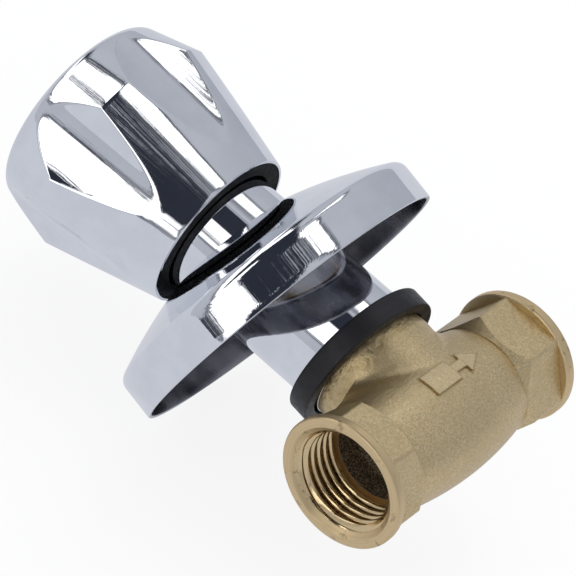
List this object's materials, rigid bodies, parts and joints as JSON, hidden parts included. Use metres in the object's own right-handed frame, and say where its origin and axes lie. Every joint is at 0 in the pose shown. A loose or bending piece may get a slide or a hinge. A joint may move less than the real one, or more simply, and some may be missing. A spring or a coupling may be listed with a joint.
{
  "type": "concealed stop valve",
  "caption": "Concealed in-line stop valve: cast body with two threaded ports, chromed sleeve, loose wall flange and a fluted handle that turns a non-rising spindle.",
  "frame": {"origin": "where the axis through the two ports crosses the axis of the spindle", "axes": "+X along the ports towards the inlet, -Y along the spindle towards the handle, +Z across both, towards the side with the raised flow arrow"},
  "size_m": [0.0684, 0.108, 0.068],
  "materials": {
    "cast_brass": "as cast, sand-blasted grain, machined ends",
    "turned_brass": "turned, bright",
    "chrome_plate": "polished chrome plate",
    "flange_chrome": "polished chrome plate outside, dull inside",
    "black_rubber": "smooth moulded rubber",
    "black_plastic": "moulded, semi-matt",
    "white_plastic": "moulded, low friction",
    "fibre": "pressed fibre",
    "steel": "plated steel"
  },
  "bodies": {
    "body": {"valve_body": "cast_brass", "bonnet": "turned_brass", "bonnet_washer": "fibre", "sleeve_tube": "chrome_plate", "rubber_ring": "black_rubber"},
    "handle": {"handle_shell": "chrome_plate", "handle_insert": "black_plastic", "handle_screw": "steel", "screw_washer": "steel", "index_cap": "chrome_plate", "spindle": "turned_brass", "lower_o_ring": "black_rubber", "upper_o_ring": "black_rubber", "thrust_washer": "white_plastic", "slip_washer": "turned_brass", "retaining_ring": "steel"},
    "jumper": {"jumper_carrier": "turned_brass", "seat_washer": "black_rubber", "washer_plate": "turned_brass", "washer_screw": "turned_brass"},
    "flange": {"wall_flange": "flange_chrome"}
  },
  "joints": [
    {"name": "handle_turn", "type": "hinge", "parent": "body", "child": "handle", "pos_m": [0, -0.07, 0], "axis": [0, -1, 0], "range_deg": [0, 630]},
    {"name": "jumper_lift", "type": "slide", "parent": "body", "child": "jumper", "axis": [0, -1, 0], "range_m": [0, 0.0044]},
    {"name": "flange_slide", "type": "slide", "parent": "body", "child": "flange", "axis": [0, 1, 0], "range_m": [0, 0.018]}
  ],
  "couplings": [
    {"joint": "jumper_lift", "follows": "handle_turn", "m_per_rad": 0.00039789}
  ]
}
